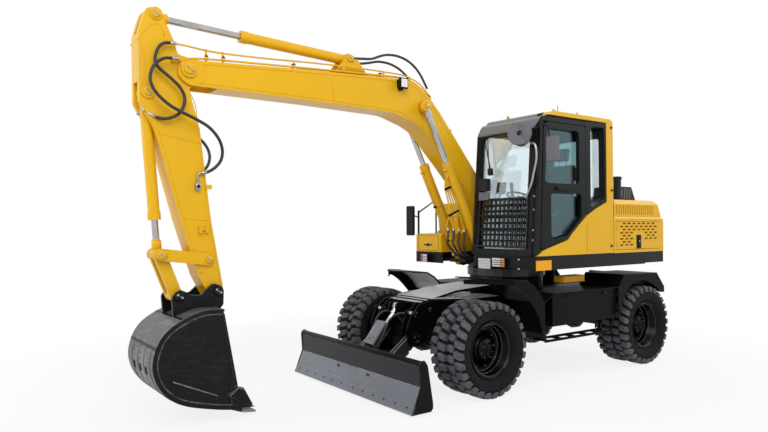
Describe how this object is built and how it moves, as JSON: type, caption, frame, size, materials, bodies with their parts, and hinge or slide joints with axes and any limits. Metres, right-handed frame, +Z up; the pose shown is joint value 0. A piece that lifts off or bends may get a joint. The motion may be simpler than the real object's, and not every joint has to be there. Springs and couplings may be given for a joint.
{
  "type": "wheeled excavator",
  "caption": "Wheeled excavator with a front blade, glazed cab, one-piece boom, arm and digging bucket; it slews, steers, lifts, crowds and curls.",
  "frame": {"origin": "centre of the footprint box on the ground, under the tyres", "axes": "+X towards the blade and bucket, +Y towards the cab's side (the machine's left), +Z up"},
  "size_m": [7.0036, 2.835, 4.0726],
  "materials": {
    "yellow_paint": "semi gloss yellow paint",
    "black_paint": "satin black paint",
    "blade_grey": "worn dark grey paint",
    "bare_steel": "machined steel",
    "chrome": "polished",
    "tyre_rubber": "matt",
    "rim_paint": "satin black paint",
    "cab_glass": "clear, lightly tinted",
    "seat_cloth": "woven",
    "dark_plastic": "matt"
  },
  "bodies": {
    "chassis": {"chassis_frame": "black_paint", "slew_ring": "bare_steel", "front_axle": "black_paint", "rear_axle": "black_paint", "drive_line": "black_paint", "side_deck_left": "black_paint", "side_deck_right": "black_paint"},
    "steer_left": {"knuckle_left": "black_paint"},
    "steer_right": {"knuckle_right": "black_paint"},
    "wheel_front_left": {"tyre_front_left": "tyre_rubber", "rim_front_left": "rim_paint"},
    "wheel_front_right": {"tyre_front_right": "tyre_rubber", "rim_front_right": "rim_paint"},
    "wheel_rear_left": {"tyre_rear_left": "tyre_rubber", "rim_rear_left": "rim_paint"},
    "wheel_rear_right": {"tyre_rear_right": "tyre_rubber", "rim_rear_right": "rim_paint"},
    "blade_body": {"blade": "blade_grey"},
    "blade_barrel_body": {"blade_cylinder": "yellow_paint"},
    "blade_rod_body": {"blade_cylinder_rod": "chrome"},
    "upper": {"upper_frame": "black_paint", "cab_frame": "black_paint", "cab_left_side": "black_paint", "cab_right_side": "black_paint", "cab_outer_panel": "yellow_paint", "windshield": "cab_glass", "rear_glass": "cab_glass", "quarter_glass": "cab_glass", "right_glass": "cab_glass", "seat": "seat_cloth", "consoles": "dark_plastic", "front_guard": "black_paint", "mirrors_left": "black_paint", "mirror_right": "black_paint", "hood": "yellow_paint", "engine": "dark_plastic", "counterweight": "black_paint", "right_box": "yellow_paint", "exhaust": "dark_plastic"},
    "door_body": {"cab_door": "black_paint", "door_glass": "cab_glass"},
    "engine_door_body": {"engine_door": "yellow_paint"},
    "boom_body": {"boom": "yellow_paint", "work_lamp": "black_paint"},
    "boom_barrel_body": {"boom_cylinders": "yellow_paint"},
    "boom_rod_body": {"boom_cylinder_rod_left": "chrome", "boom_cylinder_rod_right": "chrome"},
    "arm_barrel_body": {"arm_cylinder": "yellow_paint"},
    "arm_rod_body": {"arm_cylinder_rod": "chrome"},
    "arm_body": {"arm": "yellow_paint"},
    "bucket_barrel_body": {"bucket_cylinder": "yellow_paint"},
    "bucket_rod_body": {"bucket_cylinder_rod": "chrome"},
    "guide_body": {"guide_links": "yellow_paint"},
    "bucket_body": {"bucket": "blade_grey"},
    "link_body": {"bucket_link": "yellow_paint"}
  },
  "joints": [
    {"name": "steer_left", "type": "hinge", "parent": "chassis", "child": "steer_left", "pos_m": [0.0632, 0.6025, 0.5349], "axis": [0, 0, 1], "range_deg": [-30, 30]},
    {"name": "spin_front_left", "type": "hinge", "parent": "steer_left", "child": "wheel_front_left", "pos_m": [0.0632, 0.9275, 0.5349], "axis": [0, 1, 0], "continuous": true},
    {"name": "spin_rear_left", "type": "hinge", "parent": "chassis", "child": "wheel_rear_left", "pos_m": [-2.9068, 0.9275, 0.5349], "axis": [0, 1, 0], "continuous": true},
    {"name": "steer_right", "type": "hinge", "parent": "chassis", "child": "steer_right", "pos_m": [0.0632, -0.7175, 0.5349], "axis": [0, 0, 1], "range_deg": [-30, 30]},
    {"name": "spin_front_right", "type": "hinge", "parent": "steer_right", "child": "wheel_front_right", "pos_m": [0.0632, -1.0425, 0.5349], "axis": [0, 1, 0], "continuous": true},
    {"name": "spin_rear_right", "type": "hinge", "parent": "chassis", "child": "wheel_rear_right", "pos_m": [-2.9068, -1.0425, 0.5349], "axis": [0, 1, 0], "continuous": true},
    {"name": "blade_lift", "type": "hinge", "parent": "chassis", "child": "blade_body", "pos_m": [0.4782, -0.0575, 0.5999], "axis": [0, -1, 0], "range_deg": [-8, 25]},
    {"name": "blade_barrel_turn", "type": "hinge", "parent": "blade_body", "child": "blade_barrel_body", "pos_m": [0.9632, -0.0575, 0.3299], "axis": [0, -1, 0], "range_deg": [-8.38, 3.02]},
    {"name": "blade_rod_stroke", "type": "slide", "parent": "blade_barrel_body", "child": "blade_rod_body", "axis": [-0.6286, 0, 0.7777], "range_m": [-0.1028, 0.0343]},
    {"name": "slew", "type": "hinge", "parent": "chassis", "child": "upper", "pos_m": [-1.4218, -0.0575, 1.3399], "axis": [0, 0, 1], "continuous": true},
    {"name": "cab_door_hinge", "type": "hinge", "parent": "upper", "child": "door_body", "pos_m": [-1.6718, 1.0925, 2.3999], "axis": [0, 0, 1], "range_deg": [0, 150]},
    {"name": "engine_door_hinge", "type": "hinge", "parent": "upper", "child": "engine_door_body", "pos_m": [-3.3518, 1.0925, 1.7999], "axis": [0, 0, 1], "range_deg": [0, 100]},
    {"name": "boom_lift", "type": "hinge", "parent": "upper", "child": "boom_body", "pos_m": [-1.5718, -0.2975, 1.6999], "axis": [0, -1, 0], "range_deg": [-50, 40]},
    {"name": "boom_barrel_turn", "type": "hinge", "parent": "upper", "child": "boom_barrel_body", "pos_m": [-1.0018, -0.2975, 1.4299], "axis": [0, -1, 0], "range_deg": [-53.12, 42.6]},
    {"name": "boom_rod_stroke", "type": "slide", "parent": "boom_barrel_body", "child": "boom_rod_body", "axis": [0.4508, 0, 0.8926], "range_m": [-0.4894, 0.3919]},
    {"name": "arm_crowd", "type": "hinge", "parent": "boom_body", "child": "arm_body", "pos_m": [3.0212, -0.2975, 3.4979], "axis": [0, 1, 0], "range_deg": [-80, 27]},
    {"name": "arm_barrel_turn", "type": "hinge", "parent": "boom_body", "child": "arm_barrel_body", "pos_m": [1.0572, -0.2975, 3.9099], "axis": [0, 1, 0], "range_deg": [-1.94, 0.99]},
    {"name": "arm_rod_stroke", "type": "slide", "parent": "arm_barrel_body", "child": "arm_rod_body", "axis": [0.9991, 0, 0.0416], "range_m": [-0.7308, 0.248]},
    {"name": "bucket_curl", "type": "hinge", "parent": "arm_body", "child": "bucket_body", "pos_m": [2.7282, -0.2975, 1.2599], "axis": [0, 1, 0], "range_deg": [-30, 115]},
    {"name": "guide_turn", "type": "hinge", "parent": "arm_body", "child": "guide_body", "pos_m": [2.8112, -0.2975, 1.5839], "axis": [0, 1, 0], "range_deg": [-23.51, 88.7]},
    {"name": "link_turn", "type": "hinge", "parent": "bucket_body", "child": "link_body", "pos_m": [3.1222, -0.2975, 1.2309], "axis": [0, 1, 0], "range_deg": [-78.87, 20.95]},
    {"name": "bucket_barrel_turn", "type": "hinge", "parent": "arm_body", "child": "bucket_barrel_body", "pos_m": [3.4122, -0.2975, 3.2339], "axis": [0, 1, 0], "range_deg": [-0.74, 1.42]},
    {"name": "bucket_rod_stroke", "type": "slide", "parent": "bucket_barrel_body", "child": "bucket_rod_body", "axis": [-0.0802, 0, -0.9968], "range_m": [-0.1677, 0.6373]}
  ],
  "couplings": [
    {"joint": "steer_right", "follows": "steer_left", "ratio": 1},
    {"joint": "blade_barrel_turn", "follows": "blade_lift", "ratio": -0.315},
    {"joint": "blade_rod_stroke", "follows": "blade_lift", "m_per_rad": -0.231},
    {"joint": "boom_barrel_turn", "follows": "boom_lift", "ratio": 1.0525},
    {"joint": "boom_rod_stroke", "follows": "boom_lift", "m_per_rad": 0.5585},
    {"joint": "arm_barrel_turn", "follows": "arm_crowd", "ratio": 0.018},
    {"joint": "arm_rod_stroke", "follows": "arm_crowd", "m_per_rad": 0.522},
    {"joint": "guide_turn", "follows": "bucket_curl", "ratio": 0.767},
    {"joint": "link_turn", "follows": "bucket_curl", "ratio": -0.6815},
    {"joint": "bucket_barrel_turn", "follows": "bucket_curl", "ratio": 0.008},
    {"joint": "bucket_rod_stroke", "follows": "bucket_curl", "m_per_rad": 0.3165}
  ]
}
